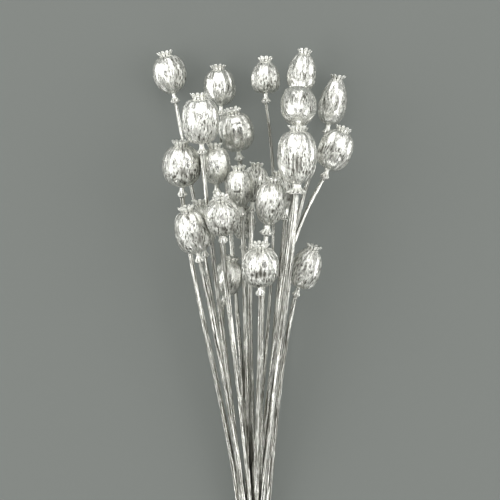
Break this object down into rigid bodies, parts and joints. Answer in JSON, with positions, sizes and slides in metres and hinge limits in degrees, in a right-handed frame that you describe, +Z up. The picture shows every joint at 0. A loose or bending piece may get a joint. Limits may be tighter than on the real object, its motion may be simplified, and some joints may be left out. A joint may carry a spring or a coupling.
{
  "type": "bunch of poppy seed heads",
  "caption": "Bunch of dried poppy seed heads sprayed silver, on long stems gathered and tied with twine, lying down as decoration.",
  "frame": {"origin": "middle of the bunch's footprint, on the surface that it lies on", "axes": "+Y along the bunch from the cut ends to the seed heads, +X to the right seen from above, +Z up off the surface"},
  "size_m": [0.1819, 0.5164, 0.118],
  "materials": {
    "silver_seed_head": "silver spray paint over dried plant, satin, with darker flecks",
    "jute_twine": "plain twisted jute"
  },
  "bodies": {
    "root": {"seed_head_01": "silver_seed_head", "seed_head_02": "silver_seed_head", "seed_head_03": "silver_seed_head", "seed_head_04": "silver_seed_head", "seed_head_05": "silver_seed_head", "seed_head_06": "silver_seed_head", "seed_head_07": "silver_seed_head", "seed_head_08": "silver_seed_head", "seed_head_09": "silver_seed_head", "seed_head_10": "silver_seed_head", "seed_head_11": "silver_seed_head", "seed_head_12": "silver_seed_head", "seed_head_13": "silver_seed_head", "seed_head_14": "silver_seed_head", "seed_head_15": "silver_seed_head", "seed_head_16": "silver_seed_head", "seed_head_17": "silver_seed_head", "seed_head_18": "silver_seed_head", "seed_head_19": "silver_seed_head", "seed_head_20": "silver_seed_head", "seed_head_21": "silver_seed_head", "seed_head_22": "silver_seed_head", "seed_head_23": "silver_seed_head", "seed_head_24": "silver_seed_head", "twine_tie": "jute_twine"}
  },
  "joints": []
}
